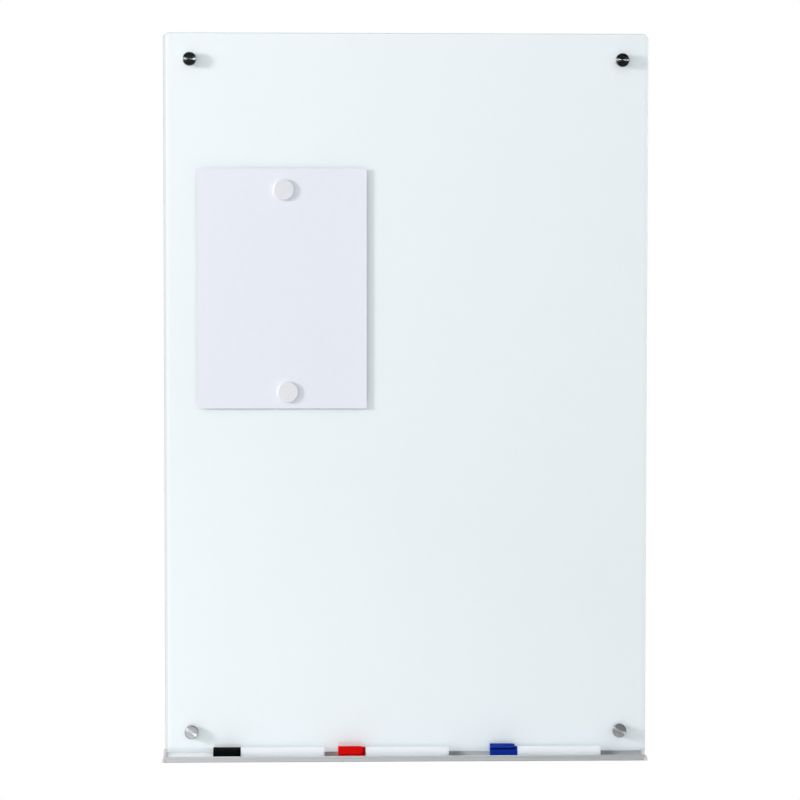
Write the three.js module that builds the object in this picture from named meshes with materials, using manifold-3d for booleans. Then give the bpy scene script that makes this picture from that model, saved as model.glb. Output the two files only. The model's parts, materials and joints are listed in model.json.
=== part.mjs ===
import * as THREE from 'three';
import { mergeVertices } from 'three/addons/utils/BufferGeometryUtils.js';
import Module from 'manifold-3d';

// Magnetic glass whiteboard for a wall: a toughened glass panel with a white coating and a
// steel sheet behind it, four stand-off fixings, a pen tray pushed onto the bottom edge,
// three markers, and a note sheet under two magnets. Millimetres, +Z up, and the viewer
// stands on the -Y side. The origin is on the wall plane, midway between the stand-offs.

const wasm = await Module();
wasm.setup();

// Clearances and facets
const flatClearance = 0.05;
const roundClearance = 0.3;
const cutOverrun = 2;
const outlineSegments = 8;
const filletSegments = 3;
const roundSides = 32;
const smallSides = 24;
const hiddenSides = 18;
const nibSides = 12;

// Glass panel
const boardWidth = 600;
const boardHeight = 900;
const glassThickness = 4;
const boardCornerRadius = 8;
const arrisSize = 0.5;
const fixingInset = 33;
const wallStandoff = 20;

// White coating on the back of the glass
const coatingThickness = 0.2;
const coatingInset = 0.8;

// Steel sheet bonded to the coating
const backingThickness = 0.6;
const backingInset = 6;
const backingCornerRadius = 5;
const backingHoleMargin = 3;
const backingTrayGap = 3;

// Stand-offs: a barrel on the wall, and a cap whose stud clamps the glass between washers
const barrelRadius = 8.5;
const barrelRearWall = 3;
const barrelChamfer = 0.6;
const capRadius = 8.5;
const capThickness = 7;
const capEdgeRadius = 0.7;
const studRadius = 4;
const studChamfer = 0.8;
const threadEngagement = 9;
const washerThickness = 1;
const washerSetback = 0.5;
const bushWall = 1.1;

// Wall screws
const screwHeadRadius = 3.8;
const screwHeadHeight = 2.6;
const screwShankRadius = 2.1;
const screwLength = 32;
const screwPointLength = 5;

// Pen tray: one extrusion with a channel for the glass, a trough and a beaded lip
const trayWall = 1.5;
const linerThickness = 0.5;
const glassBite = 7.1;
const troughDepth = 27.6;
const troughDrop = 0.4;
const lipHeight = 7.4;
const lipBeadRadius = 1.5;
const trayFillet = 1.2;
const channelEdgeRadius = 0.5;
const trayOverhang = 0.5;
// How far the tray was pushed on to the right of the board's middle
const trayShift = -1.4;

// End caps of the tray: a cup round the channel, a low sill across the trough, and the lip's end
const endCapPlate = 3;
const endCapGrip = 0.5;
const endCapWall = 0.7;
const endCapCorner = 1.6;
const endCapRise = 3.2;
const endSillHeight = 1.2;
const lipCornerRadius = 4;
const cupCornerRadius = 1.8;

// Markers
const markerLength = 138;
const markerRadius = 6.5;
const markerWall = 1.2;
const markerCapLength = 34;
const markerCapRadius = 6.8;
const markerCapWall = 1.1;
const markerCapEnd = 1.6;
const neckInset = 13;
const noseLength = 6;
const noseRadius = 3.6;
const nibRadius = 2.3;
const nibReach = 6;
const nibTipLength = 2.4;
const markerBoreStart = 3;
const plugFlange = 1.8;
const plugStub = 9;
const plugChamfer = 0.4;
const clipHeight = 1.9;
const clipGap = 0.7;
const clipWidth = 10.3;
const clipLength = 31;
const clipRoot = 4;
const clipRootInset = 0.6;
const clipTipRadius = 3.4;
const clipEdgeRadius = 0.5;
const capRollDegrees = [90, 62, 19];
// The tray's free length, shared out left of, between and right of the markers
const markerGapShares = [0.324, 0.091, 0.276];

// Note sheet: a sheet of writing paper whose right edge lifts off the glass
const noteWidth = 210;
const noteHeight = 297;
const noteThickness = 0.2;
const noteCurlLength = 46;
const noteCurlLift = 2;
const noteCurlSteps = 8;
// The sheet's centre, as shares of the board's width and height
const noteCentreShares = [-0.2565, 0.1497];

// Magnets: a metal cup with a magnet disc set into its back
const magnetRadius = 13;
const magnetHeight = 4.6;
const magnetEdgeRadius = 1;
const magnetCupWall = 1.2;
const magnetCupFace = 1.4;
const magnetRecess = 0.3;
const upperMagnetInset = 26.4;
const lowerMagnetInset = 20.4;
const upperMagnetOffset = 2.5;
const lowerMagnetOffset = 7.4;

// Planes worked out from the sizes above, as distances in front of the wall
const glassBackAt = wallStandoff;
const glassFrontAt = glassBackAt + glassThickness;
const coatingFrontAt = glassBackAt - flatClearance;
const coatingBackAt = coatingFrontAt - coatingThickness;
const boardBottom = -boardHeight / 2;
const trayGap = linerThickness + flatClearance * 2;
const channelInnerRear = coatingBackAt - trayGap;
const channelInnerFront = glassFrontAt + trayGap;
const channelRear = channelInnerRear - trayWall;
const channelFront = channelInnerFront + trayWall;
const channelTop = boardBottom + glassBite;
const channelFloor = boardBottom - trayGap;
const channelBase = channelFloor - trayWall;
const troughUnderside = boardBottom - troughDrop;
const troughFloor = troughUnderside + trayWall;
const lipInner = channelFront + troughDepth;
const lipOuter = lipInner + trayWall;
const lipTop = troughUnderside + lipHeight;
const trayReach = boardWidth / 2 + trayOverhang;
const extrusionEnd = trayReach - endCapPlate - flatClearance;

const finishes = {
  coating: { color: 0xeef1f4, roughness: 0.5, metalness: 0 },
  glass: { color: 0xe6eef1, roughness: 0.06, metalness: 0, transparent: true, opacity: 0.9 },
  zinc: { color: 0xb9bcbd, roughness: 0.5, metalness: 0.8 },
  turnedSteel: { color: 0xb4b6b8, roughness: 0.28, metalness: 1 },
  clearPlastic: { color: 0xdfe6e8, roughness: 0.2, metalness: 0 },
  screwSteel: { color: 0xc9c4b4, roughness: 0.4, metalness: 1 },
  aluminium: { color: 0xb3b5ba, roughness: 0.4, metalness: 1 },
  greyPlastic: { color: 0x8f9396, roughness: 0.55, metalness: 0 },
  whitePlastic: { color: 0xe9ebf0, roughness: 0.35, metalness: 0 },
  black: { color: 0x0b1413, roughness: 0.35, metalness: 0 },
  red: { color: 0xc90c0a, roughness: 0.35, metalness: 0 },
  blue: { color: 0x082e91, roughness: 0.35, metalness: 0 },
  felt: { color: 0xf0eee6, roughness: 0.95, metalness: 0 },
  nickel: { color: 0xe2e5ec, roughness: 0.35, metalness: 0.9 },
  magnet: { color: 0x8a8c90, roughness: 0.45, metalness: 1 },
  paper: { color: 0xe6eaf3, roughness: 0.9, metalness: 0 },
};

const finishOf = {};
for (const [key, values] of Object.entries(finishes)) {
  finishOf[key] = new THREE.MeshStandardMaterial({ name: key, ...values });
}

// Welds a geometry by position alone, drops the slivers that collapse on a lathe's axis,
// and turns the faces outward.
function welded(geometry) {
  const bare = geometry.clone();
  bare.deleteAttribute('normal');
  bare.deleteAttribute('uv');
  const merged = mergeVertices(bare);
  const position = merged.attributes.position;
  const corners = [new THREE.Vector3(), new THREE.Vector3(), new THREE.Vector3()];
  const kept = [];
  let volume = 0;
  for (let i = 0; i < merged.index.count; i += 3) {
    const triangle = [0, 1, 2].map((k) => merged.index.getX(i + k));
    if (new Set(triangle).size < 3) continue;
    triangle.forEach((vertex, k) => corners[k].fromBufferAttribute(position, vertex));
    volume += corners[0].dot(corners[1].clone().cross(corners[2]));
    kept.push(triangle);
  }
  if (volume < 0) kept.forEach((triangle) => triangle.reverse());
  merged.setIndex(kept.flat());
  return merged;
}

function toSolid(geometry) {
  const closed = welded(geometry);
  return new wasm.Manifold(new wasm.Mesh({
    numProp: 3,
    vertProperties: new Float32Array(closed.attributes.position.array),
    triVerts: new Uint32Array(closed.index.array),
  }));
}

function toGeometry(solid) {
  const { vertProperties, triVerts } = solid.getMesh();
  const geometry = new THREE.BufferGeometry();
  geometry.setAttribute('position', new THREE.BufferAttribute(vertProperties, 3));
  geometry.setIndex(new THREE.BufferAttribute(triVerts, 1));
  return geometry;
}

function piece(name, geometry, finish) {
  const shaded = welded(geometry).toNonIndexed();
  shaded.computeVertexNormals();
  const mesh = new THREE.Mesh(shaded, finishOf[finish]);
  mesh.name = name;
  return mesh;
}

// A closed path through corners given as [across, up, radius], each radius rounded off.
function roundedShape(corners) {
  const points = corners.map(([across, up]) => new THREE.Vector2(across, up));
  const towards = (from, to, distance) => to.clone().sub(from).setLength(distance).add(from);
  const shape = new THREE.Shape();
  corners.forEach(([, , radius], i) => {
    const corner = points[i];
    const before = points[(i + points.length - 1) % points.length];
    const after = points[(i + 1) % points.length];
    const start = radius > 0 ? towards(corner, before, radius) : corner;
    const end = radius > 0 ? towards(corner, after, radius) : corner;
    if (i === 0) shape.moveTo(start.x, start.y);
    else shape.lineTo(start.x, start.y);
    if (radius > 0) shape.quadraticCurveTo(corner.x, corner.y, end.x, end.y);
  });
  shape.closePath();
  return shape;
}

function roundedRectangle(left, bottom, right, top, radius) {
  const shape = new THREE.Shape();
  shape.moveTo(left + radius, bottom);
  shape.absarc(right - radius, bottom + radius, radius, -Math.PI / 2, 0, false);
  shape.absarc(right - radius, top - radius, radius, 0, Math.PI / 2, false);
  shape.absarc(left + radius, top - radius, radius, Math.PI / 2, Math.PI, false);
  shape.absarc(left + radius, bottom + radius, radius, Math.PI, Math.PI * 1.5, false);
  return shape;
}

function addHole(shape, across, up, radius) {
  const hole = new THREE.Path();
  hole.absarc(across, up, radius, 0, Math.PI * 2, true);
  shape.holes.push(hole);
}

// Extrudes a shape drawn as seen from the front, from one distance off the wall to another.
function frontExtrusion(shape, from, to, arris = 0) {
  const geometry = new THREE.ExtrudeGeometry(shape, {
    depth: to - from - arris * 2,
    curveSegments: outlineSegments,
    bevelEnabled: arris > 0,
    bevelThickness: arris,
    bevelSize: arris,
    bevelOffset: -arris,
    bevelSegments: 1,
  });
  geometry.rotateX(Math.PI / 2);
  geometry.translate(0, -from - arris, 0);
  return geometry;
}

// Extrudes a section drawn as [distance in front of the wall, height] along X.
function lengthwiseExtrusion(shape, fromX, toX) {
  const geometry = new THREE.ExtrudeGeometry(shape, {
    depth: toX - fromX,
    curveSegments: filletSegments,
    bevelEnabled: false,
  });
  const towardViewer = new THREE.Vector3(0, -1, 0);
  const upward = new THREE.Vector3(0, 0, 1);
  const leftward = new THREE.Vector3(-1, 0, 0);
  geometry.applyMatrix4(new THREE.Matrix4().makeBasis(towardViewer, upward, leftward));
  geometry.translate(toX, 0, 0);
  return geometry;
}

function rectangleShape(left, bottom, right, top) {
  return roundedShape([[left, bottom, 0], [right, bottom, 0], [right, top, 0], [left, top, 0]]);
}

// A solid of revolution about the Y axis, its profile given as [radius, height].
function turned(profile, sides) {
  return new THREE.LatheGeometry(profile.map(([radius, y]) => new THREE.Vector2(radius, y)), sides);
}

// Points of a quarter round between two profile points, bulging towards the given corner.
function quarterRound(from, corner, to) {
  const curve = new THREE.QuadraticBezierCurve(
    new THREE.Vector2(...from), new THREE.Vector2(...corner), new THREE.Vector2(...to));
  return curve.getPoints(filletSegments).map(({ x, y }) => [x, y]);
}

function ringProfile(innerRadius, outerRadius, from, to) {
  return [
    [innerRadius, from],
    [outerRadius, from],
    [outerRadius, to],
    [innerRadius, to],
    [innerRadius, from],
  ];
}

// Centres of the four stand-offs, mirrored from the board's corners
const fixings = [];
for (const [rowName, rowSide] of [['upper', 1], ['lower', -1]]) {
  for (const [columnName, columnSide] of [['left', -1], ['right', 1]]) {
    fixings.push({
      name: `${rowName}_${columnName}`,
      x: columnSide * (boardWidth / 2 - fixingInset),
      z: rowSide * (boardHeight / 2 - fixingInset),
    });
  }
}

const boreRadius = studRadius + roundClearance;
const bushRadius = boreRadius + bushWall;
const glassHoleRadius = bushRadius + roundClearance;
const washerRadius = capRadius - washerSetback;
const rearWasherFrontAt = coatingBackAt - flatClearance;
const barrelFrontAt = rearWasherFrontAt - washerThickness - flatClearance;

function glassPanel() {
  const shape = roundedRectangle(
    -boardWidth / 2, boardBottom, boardWidth / 2, -boardBottom, boardCornerRadius);
  for (const { x, z } of fixings) addHole(shape, x, z, glassHoleRadius);
  const slab = frontExtrusion(shape, glassBackAt, glassFrontAt, arrisSize);
  return piece('glass_panel', slab, 'glass');
}

function backCoating() {
  const shape = roundedRectangle(
    coatingInset - boardWidth / 2, boardBottom + coatingInset,
    boardWidth / 2 - coatingInset, -boardBottom - coatingInset, boardCornerRadius - coatingInset);
  for (const { x, z } of fixings) addHole(shape, x, z, glassHoleRadius);
  return piece('back_coating', frontExtrusion(shape, coatingBackAt, coatingFrontAt), 'coating');
}

function steelBacking() {
  const shape = roundedRectangle(
    backingInset - boardWidth / 2, channelTop + backingTrayGap,
    boardWidth / 2 - backingInset, -boardBottom - backingInset, backingCornerRadius);
  for (const { x, z } of fixings) addHole(shape, x, z, barrelRadius + backingHoleMargin);
  const front = coatingBackAt - flatClearance;
  return piece('steel_backing', frontExtrusion(shape, front - backingThickness, front), 'zinc');
}

function barrelGeometry() {
  const rear = 0;
  const front = -barrelFrontAt;
  const screwHole = screwShankRadius + roundClearance;
  return turned([
    [screwHole, rear],
    [barrelRadius - barrelChamfer, rear],
    [barrelRadius, rear - barrelChamfer],
    [barrelRadius, front + barrelChamfer],
    [barrelRadius - barrelChamfer, front],
    [boreRadius, front],
    [boreRadius, rear - barrelRearWall],
    [screwHole, rear - barrelRearWall],
    [screwHole, rear],
  ], roundSides);
}

function washerGeometry(centre) {
  const half = washerThickness / 2;
  return turned(ringProfile(boreRadius, washerRadius, centre + half, centre - half), hiddenSides);
}

function bushGeometry() {
  const front = flatClearance - glassFrontAt;
  const rear = -glassBackAt - flatClearance;
  return turned(ringProfile(boreRadius, bushRadius, rear, front), hiddenSides);
}

function capGeometry() {
  const back = -(glassFrontAt + washerThickness + flatClearance * 2);
  const front = back - capThickness;
  const studEnd = threadEngagement - barrelFrontAt;
  return turned([
    [0, front],
    ...quarterRound(
      [capRadius - capEdgeRadius, front], [capRadius, front], [capRadius, front + capEdgeRadius]),
    [capRadius, back],
    [studRadius, back],
    [studRadius, studEnd - studChamfer],
    [studRadius - studChamfer, studEnd],
    [0, studEnd],
  ], roundSides);
}

function screwGeometry() {
  const seat = -barrelRearWall - flatClearance;
  const top = seat - screwHeadHeight;
  const tip = seat + screwLength;
  const rimTop = seat - screwHeadHeight / 3;
  return turned([
    [0, top],
    [screwHeadRadius / 2, top],
    [screwHeadRadius, rimTop],
    [screwHeadRadius, seat],
    [screwShankRadius, seat],
    [screwShankRadius, tip - screwPointLength],
    [0, tip],
  ], hiddenSides);
}

function standoff({ name, x, z }) {
  const group = new THREE.Group();
  const rearWasherCentre = washerThickness / 2 - rearWasherFrontAt;
  const frontWasherCentre = -(glassFrontAt + flatClearance + washerThickness / 2);
  group.add(
    piece(`wall_screw_${name}`, screwGeometry(), 'screwSteel'),
    piece(`standoff_barrel_${name}`, barrelGeometry(), 'turnedSteel'),
    piece(`rear_washer_${name}`, washerGeometry(rearWasherCentre), 'clearPlastic'),
    piece(`glass_bush_${name}`, bushGeometry(), 'clearPlastic'),
    piece(`front_washer_${name}`, washerGeometry(frontWasherCentre), 'clearPlastic'),
    piece(`standoff_cap_${name}`, capGeometry(), 'turnedSteel'),
  );
  group.position.set(x, 0, z);
  return group;
}

// The bead on the lip's top: its centre, and where the lip's two faces meet it
const beadAcross = (lipInner + lipOuter) / 2;
const beadUp = lipTop - lipBeadRadius;
const beadAngle = Math.asin(trayWall / 2 / lipBeadRadius);
const beadFoot = beadUp - lipBeadRadius * Math.cos(beadAngle);

// The tray's section, clockwise from the foot of the rear leg
function traySection() {
  const cove = Math.min(trayFillet, troughDepth / 2);
  return roundedShape([
    [channelRear, channelBase, trayFillet],
    [channelRear, channelTop, channelEdgeRadius],
    [channelInnerRear, channelTop, channelEdgeRadius],
    [channelInnerRear, channelFloor, 0],
    [channelInnerFront, channelFloor, 0],
    [channelInnerFront, channelTop, channelEdgeRadius],
    [channelFront, channelTop, channelEdgeRadius],
    [channelFront, troughFloor, cove],
    [lipInner, troughFloor, cove],
    [lipInner, beadFoot, 0],
    [lipOuter, beadFoot, 0],
    [lipOuter, troughUnderside, trayFillet],
    [channelFront, troughUnderside, 0],
    [channelFront, channelBase, trayFillet],
  ]);
}

function beadSection() {
  const root = beadFoot - trayWall;
  const bead = new THREE.Shape();
  bead.absarc(
    beadAcross, beadUp, lipBeadRadius, Math.PI * 1.5 - beadAngle, beadAngle - Math.PI / 2, true);
  bead.lineTo(lipOuter, root);
  bead.lineTo(lipInner, root);
  bead.closePath();
  return bead;
}

function tray() {
  const section = toSolid(lengthwiseExtrusion(traySection(), -extrusionEnd, extrusionEnd));
  const bead = toSolid(lengthwiseExtrusion(beadSection(), -extrusionEnd, extrusionEnd));
  return trayPiece('pen_tray', toGeometry(section.add(bead)), 'aluminium');
}

function trayPiece(name, geometry, finish) {
  const mesh = piece(name, geometry, finish);
  mesh.position.x = trayShift;
  return mesh;
}

// Soft U-shaped strip that the glass presses into the channel
function trayLiner() {
  const outerRear = channelInnerRear + flatClearance;
  const outerFront = channelInnerFront - flatClearance;
  const bottom = channelFloor + flatClearance;
  const top = channelTop - channelEdgeRadius;
  const shape = roundedShape([
    [outerRear, bottom, 0],
    [outerFront, bottom, 0],
    [outerFront, top, 0],
    [outerFront - linerThickness, top, 0],
    [outerFront - linerThickness, bottom + linerThickness, 0],
    [outerRear + linerThickness, bottom + linerThickness, 0],
    [outerRear + linerThickness, top, 0],
    [outerRear, top, 0],
  ]);
  const strip = lengthwiseExtrusion(shape, -extrusionEnd, extrusionEnd);
  return trayPiece('tray_liner', strip, 'greyPlastic');
}

// What rounds off an end cap's upper outer corner, drawn as seen from the front
function cornerCutter(side, top, radius, from, to) {
  const inner = trayReach - radius;
  const lower = top - radius;
  const shape = new THREE.Shape();
  shape.moveTo(side * inner, top + cutOverrun);
  shape.lineTo(side * inner, top);
  for (let step = 1; step <= outlineSegments; step += 1) {
    const angle = (Math.PI / 2) * (1 - step / outlineSegments);
    const across = inner + radius * Math.cos(angle);
    shape.lineTo(side * across, lower + radius * Math.sin(angle));
  }
  shape.lineTo(side * (trayReach + cutOverrun), lower);
  shape.lineTo(side * (trayReach + cutOverrun), top + cutOverrun);
  shape.closePath();
  return toSolid(frontExtrusion(shape, from, to));
}

// Moulded cap that closes one end of the tray, with an open slot for the glass
function trayEndCap(name, side) {
  const reach = endCapWall + roundClearance;
  const cupTop = channelTop + endCapRise;
  const along = (shape, inner, outer) => {
    const [from, to] = side > 0 ? [inner, outer] : [-outer, -inner];
    return toSolid(lengthwiseExtrusion(shape, from, to));
  };
  const cup = roundedShape([
    [channelRear - reach, channelBase - reach, endCapCorner],
    [channelFront + reach, channelBase - reach, endCapCorner],
    [channelFront + reach, cupTop, endCapCorner],
    [channelRear - reach, cupTop, endCapCorner],
  ]);
  const beadProud = lipBeadRadius - trayWall / 2;
  const lipEnd = roundedShape([
    [channelFront, troughUnderside, 0],
    [lipOuter + beadProud, troughUnderside, trayFillet],
    [lipOuter + beadProud, lipTop, trayFillet],
    [lipInner - beadProud, lipTop, trayFillet],
    [lipInner - beadProud, troughFloor + endSillHeight, 0],
    [channelFront, troughFloor + endSillHeight, 0],
  ]);
  const seat = extrusionEnd + flatClearance;
  const cavityStart = extrusionEnd - endCapGrip - cutOverrun;
  const channel = rectangleShape(
    channelRear - roundClearance, channelBase - roundClearance,
    channelFront + roundClearance, channelTop + roundClearance);
  const glassSlot = rectangleShape(
    coatingBackAt - roundClearance, channelFloor,
    glassFrontAt + roundClearance, cupTop + cutOverrun);
  const troughSlot = rectangleShape(
    channelFront - trayWall, troughUnderside - roundClearance,
    channelFront + reach + cutOverrun, troughFloor + trayFillet + roundClearance);
  const cap = along(cup, extrusionEnd - endCapGrip, trayReach)
    .add(along(lipEnd, seat, trayReach))
    .subtract(along(channel, cavityStart, seat))
    .subtract(along(troughSlot, cavityStart, seat))
    .subtract(along(glassSlot, cavityStart, trayReach + cutOverrun))
    .subtract(cornerCutter(side, cupTop, cupCornerRadius, 0, channelFront + reach + cutOverrun))
    .subtract(cornerCutter(side, lipTop, lipCornerRadius, lipInner - cutOverrun, lipOuter + cutOverrun));
  return trayPiece(name, toGeometry(cap), 'greyPlastic');
}

// A turned marker part, lying along +X from the closed end of the cap
function lyingPiece(name, profile, sides, finish) {
  return piece(name, turned(profile, sides).rotateZ(-Math.PI / 2), finish);
}

const markerMouth = markerCapLength + roundClearance;
const markerLyingRadius = Math.max(markerRadius, markerCapRadius);
const neckRadius = markerCapRadius - markerCapWall - roundClearance;
const markerBoreRadius = markerRadius - markerWall;
const markerBoreAt = markerMouth + markerBoreStart;
const nibHoleRadius = nibRadius + roundClearance;
const neckStart = neckInset + noseLength;

function markerCap(name, colour) {
  const lying = (profile) => toSolid(turned(profile, smallSides).rotateZ(-Math.PI / 2));
  const body = lying([
    [0, 0],
    ...quarterRound(
      [markerCapRadius - markerCapWall, 0],
      [markerCapRadius, 0],
      [markerCapRadius, markerCapWall]),
    [markerCapRadius, markerCapLength],
    [0, markerCapLength],
  ]);
  const boreRadiusInCap = neckRadius + roundClearance;
  const bore = lying([
    [0, markerCapEnd],
    [boreRadiusInCap, markerCapEnd],
    [boreRadiusInCap, markerCapLength + cutOverrun],
    [0, markerCapLength + cutOverrun],
  ]);
  const cap = body.add(toSolid(clipGeometry())).subtract(bore);
  return piece(`${name}_cap`, toGeometry(cap), colour);
}

// The clip's blade, drawn from above, with its root down to the cap's wall
function clipGeometry() {
  const half = clipWidth / 2;
  const underside = markerCapRadius + clipGap;
  const rise = (shape, from, to) => {
    const solid = new THREE.ExtrudeGeometry(shape, {
      depth: to - from,
      curveSegments: filletSegments,
      bevelEnabled: false,
    });
    return toSolid(solid.translate(0, 0, from));
  };
  const blade = roundedShape([
    [0, -half, clipEdgeRadius],
    [clipLength, -half, clipTipRadius],
    [clipLength, half, clipTipRadius],
    [0, half, clipEdgeRadius],
  ]);
  const inset = half - clipRootInset;
  const root = rectangleShape(0, -inset, clipRoot, inset);
  const joined = rise(blade, underside, markerCapRadius + clipHeight)
    .add(rise(root, markerCapEnd, underside + clipGap / 2));
  return toGeometry(joined);
}

function markerBarrel(name) {
  const end = markerLength - plugFlange - flatClearance;
  const shoulder = markerMouth + markerCapWall;
  return lyingPiece(`${name}_barrel`, [
    [nibHoleRadius, neckInset],
    [noseRadius, neckInset],
    [neckRadius, neckStart],
    [neckRadius, markerMouth],
    ...quarterRound(
      [markerRadius - markerCapWall, markerMouth],
      [markerRadius, markerMouth],
      [markerRadius, shoulder]),
    [markerRadius, end],
    [markerBoreRadius, end],
    [markerBoreRadius, markerBoreAt],
    [nibHoleRadius, markerBoreAt],
    [nibHoleRadius, neckInset],
  ], smallSides, 'whitePlastic');
}

function markerInsides(name) {
  const nibEnd = markerBoreAt + flatClearance;
  const nibStart = neckInset - nibReach;
  const plugFace = markerLength - plugFlange;
  const stubStart = plugFace - plugStub;
  const fillRadius = markerBoreRadius - roundClearance;
  const nib = lyingPiece(`${name}_nib`, [
    [0, nibStart],
    [nibRadius / 2, nibStart + nibTipLength / 4],
    [nibRadius, nibStart + nibTipLength],
    [nibRadius, nibEnd],
    [0, nibEnd],
  ], nibSides, 'felt');
  const reservoir = lyingPiece(`${name}_reservoir`, [
    [0, nibEnd + flatClearance],
    [fillRadius, nibEnd + flatClearance],
    [fillRadius, stubStart - flatClearance],
    [0, stubStart - flatClearance],
  ], hiddenSides, 'felt');
  const plug = lyingPiece(`${name}_end_plug`, [
    [0, stubStart],
    [fillRadius, stubStart],
    [fillRadius, plugFace],
    [markerRadius, plugFace],
    [markerRadius, markerLength - plugChamfer],
    [markerRadius - plugChamfer, markerLength],
    [0, markerLength],
  ], smallSides, 'whitePlastic');
  return [nib, reservoir, plug];
}

function marker(colour, startX, rollDegrees) {
  const name = `${colour}_marker`;
  const group = new THREE.Group();
  const cap = markerCap(name, colour);
  cap.rotation.x = THREE.MathUtils.degToRad(rollDegrees);
  group.add(cap, markerBarrel(name), ...markerInsides(name));
  const axisAt = channelFront + roundClearance + markerLyingRadius;
  group.position.set(startX, -axisAt, troughFloor + flatClearance + markerLyingRadius);
  return group;
}

function markers() {
  const free = boardWidth - markerLength * capRollDegrees.length;
  let x = -boardWidth / 2;
  return ['black', 'red', 'blue'].map((colour, i) => {
    x += free * markerGapShares[i];
    const placed = marker(colour, x, capRollDegrees[i]);
    x += markerLength;
    return placed;
  });
}

const noteX = boardWidth * noteCentreShares[0];
const noteZ = boardHeight * noteCentreShares[1];
const noteBackAt = glassFrontAt + flatClearance;

// The sheet as seen from above: flat, then lifting along a parabola to its right edge
function noteSheet() {
  const flatEnd = noteWidth / 2 - noteCurlLength;
  const front = [];
  const back = [];
  for (let step = 0; step <= noteCurlSteps; step += 1) {
    const along = step / noteCurlSteps;
    const lift = noteCurlLift * along ** 2;
    front.push(new THREE.Vector2(flatEnd + noteCurlLength * along, lift + noteThickness));
    back.unshift(new THREE.Vector2(flatEnd + noteCurlLength * along, lift));
  }
  const left = -noteWidth / 2;
  const shape = new THREE.Shape([
    new THREE.Vector2(left, noteThickness), ...front, ...back, new THREE.Vector2(left, 0)]);
  const geometry = new THREE.ExtrudeGeometry(shape, { depth: noteHeight, bevelEnabled: false });
  geometry.applyMatrix4(new THREE.Matrix4().makeScale(1, -1, 1));
  geometry.translate(noteX, -noteBackAt, noteZ - noteHeight / 2);
  return piece('note_sheet', geometry, 'paper');
}

function magnet(name, x, z) {
  const seat = -(noteBackAt + noteThickness + flatClearance);
  const front = seat - magnetHeight;
  const cupRadius = magnetRadius - magnetCupWall;
  const pocket = front + magnetCupFace;
  const housing = turned([
    [0, front],
    ...quarterRound(
      [magnetRadius - magnetEdgeRadius, front],
      [magnetRadius, front],
      [magnetRadius, front + magnetEdgeRadius]),
    [magnetRadius, seat],
    [cupRadius, seat],
    [cupRadius, pocket],
    [0, pocket],
  ], roundSides);
  const disc = turned([
    [0, pocket + flatClearance],
    [cupRadius - roundClearance, pocket + flatClearance],
    [cupRadius - roundClearance, seat - magnetRecess],
    [0, seat - magnetRecess],
  ], smallSides);
  const group = new THREE.Group();
  group.add(piece(`${name}_housing`, housing, 'nickel'), piece(`${name}_disc`, disc, 'magnet'));
  group.position.set(x, 0, z);
  return group;
}

const whiteboard = new THREE.Group();
whiteboard.add(
  glassPanel(),
  backCoating(),
  steelBacking(),
  ...fixings.map(standoff),
  tray(),
  trayLiner(),
  trayEndCap('tray_end_cap_left', -1),
  trayEndCap('tray_end_cap_right', 1),
  ...markers(),
  noteSheet(),
  magnet('upper_magnet', noteX + upperMagnetOffset, noteZ + noteHeight / 2 - upperMagnetInset),
  magnet('lower_magnet', noteX + lowerMagnetOffset, noteZ - noteHeight / 2 + lowerMagnetInset),
);

export default whiteboard;
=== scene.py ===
# %% [markdown]
# # A glass whiteboard, dressed for its photograph
#
# The board is a slab of toughened glass with a white coating on its back. It stands off the
# wall on four turned fixings, and a pen tray is pushed onto its bottom edge. Every solid comes
# packed, at its real size. This script gives each piece the surface of the real one, and turns
# the round and moulded pieces again with enough facets to look smooth from close by. Lengths
# are in metres, +Z is up, and the viewer stands on the -Y side.

# %% Load the frame
import json
import math

import bmesh
import bpy
from mathutils import Matrix, Vector


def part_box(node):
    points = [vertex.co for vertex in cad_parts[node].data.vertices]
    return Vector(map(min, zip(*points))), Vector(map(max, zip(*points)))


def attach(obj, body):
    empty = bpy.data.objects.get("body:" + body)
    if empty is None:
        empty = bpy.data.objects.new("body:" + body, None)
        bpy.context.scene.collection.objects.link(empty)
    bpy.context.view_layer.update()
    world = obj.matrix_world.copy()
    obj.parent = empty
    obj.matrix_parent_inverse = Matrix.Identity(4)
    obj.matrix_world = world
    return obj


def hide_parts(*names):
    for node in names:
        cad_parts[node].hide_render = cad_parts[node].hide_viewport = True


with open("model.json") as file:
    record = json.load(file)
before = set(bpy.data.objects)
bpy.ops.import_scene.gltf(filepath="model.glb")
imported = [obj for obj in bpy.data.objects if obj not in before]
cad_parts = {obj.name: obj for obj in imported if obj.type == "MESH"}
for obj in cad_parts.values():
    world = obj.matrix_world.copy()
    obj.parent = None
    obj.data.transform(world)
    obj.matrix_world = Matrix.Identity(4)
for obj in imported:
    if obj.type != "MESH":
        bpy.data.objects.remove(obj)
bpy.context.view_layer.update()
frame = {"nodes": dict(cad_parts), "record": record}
record = frame["record"]
nodes = frame["nodes"]
scene = bpy.context.scene
mm = 0.001
body_of = {}
for body, members in record["behaviour"]["bodies"].items():
    body_of.update({member: body for member in members})
print("CAD nodes:", len(nodes))

# %% [markdown]
# ## Camera
#
# A lens that is long for its sensor flattens the board, as in the photograph. The camera stands
# a little left of the board's middle and above it, and looks back at the middle.

# %% Camera
camera_place = Vector((-97.37, -3182.23, 142.85)) * mm
camera_yaw = math.radians(-1.6277)
camera_pitch = math.radians(-2.6501)
camera_roll = math.radians(-0.035)
camera_lens = 114.57
sensor_width = 36.0


def make_camera():
    data = bpy.data.cameras.new("camera")
    data.lens = camera_lens
    data.sensor_width = sensor_width
    camera = bpy.data.objects.new("camera", data)
    camera.location = camera_place
    camera.rotation_euler = (math.pi / 2 + camera_pitch, camera_roll, camera_yaw)
    scene.collection.objects.link(camera)
    scene.camera = camera


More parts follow.
